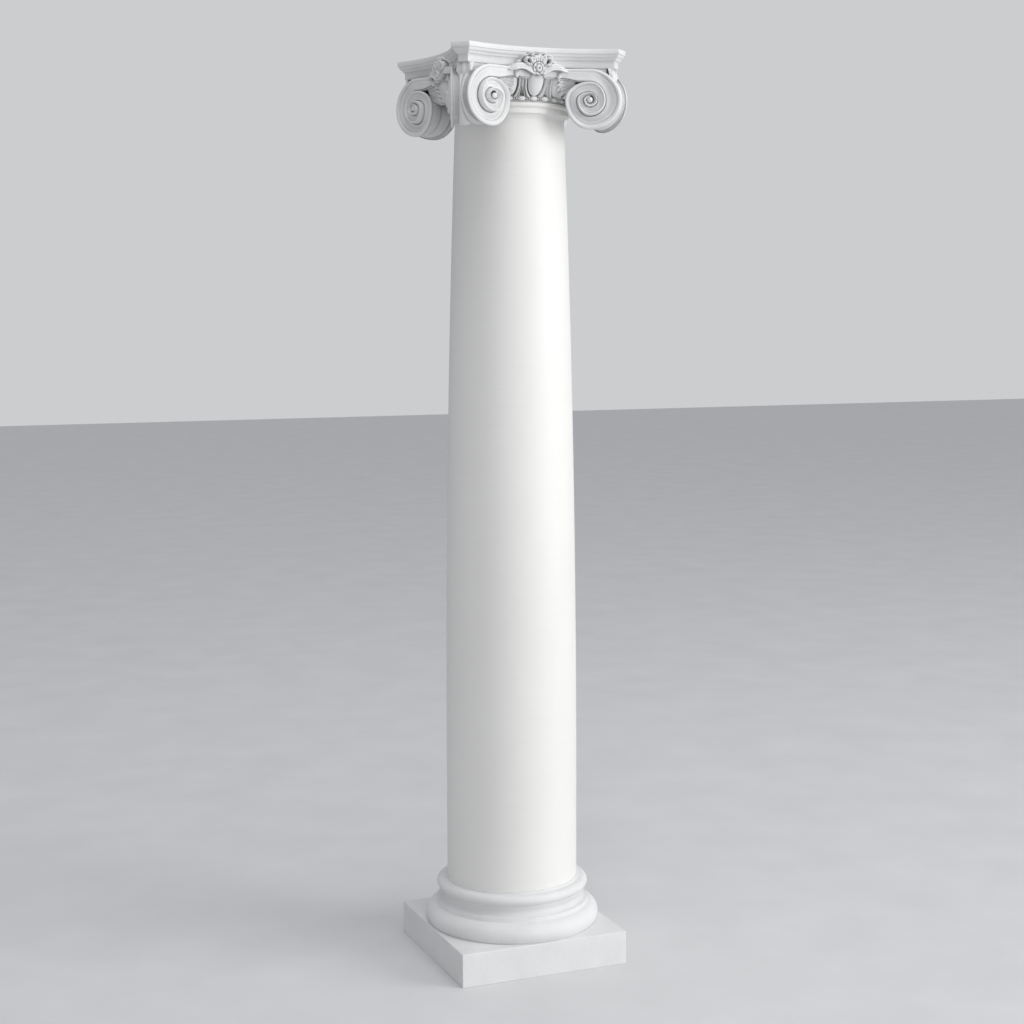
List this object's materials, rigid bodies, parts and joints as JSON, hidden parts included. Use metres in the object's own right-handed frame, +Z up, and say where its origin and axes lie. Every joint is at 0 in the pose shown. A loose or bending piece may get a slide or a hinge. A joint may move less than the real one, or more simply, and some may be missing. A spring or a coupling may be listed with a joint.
{
  "type": "fiberglass column",
  "caption": "Tapered round column in moulded white fibreglass with a square plinth, a moulded base and an Ionic capital with splayed corner volutes.",
  "frame": {"origin": "centre of the plinth's underside, on the floor", "axes": "+Z up along the column's axis, -Y towards the front face"},
  "size_m": [0.6154, 0.6154, 3.048],
  "materials": {
    "mouldings": "smooth white primer on a moulded casting, matt",
    "shaft": "sanded off-white fibreglass, matt"
  },
  "bodies": {
    "root": {"plinth": "mouldings", "base": "mouldings", "shaft": "shaft", "capital": "mouldings"}
  },
  "joints": []
}
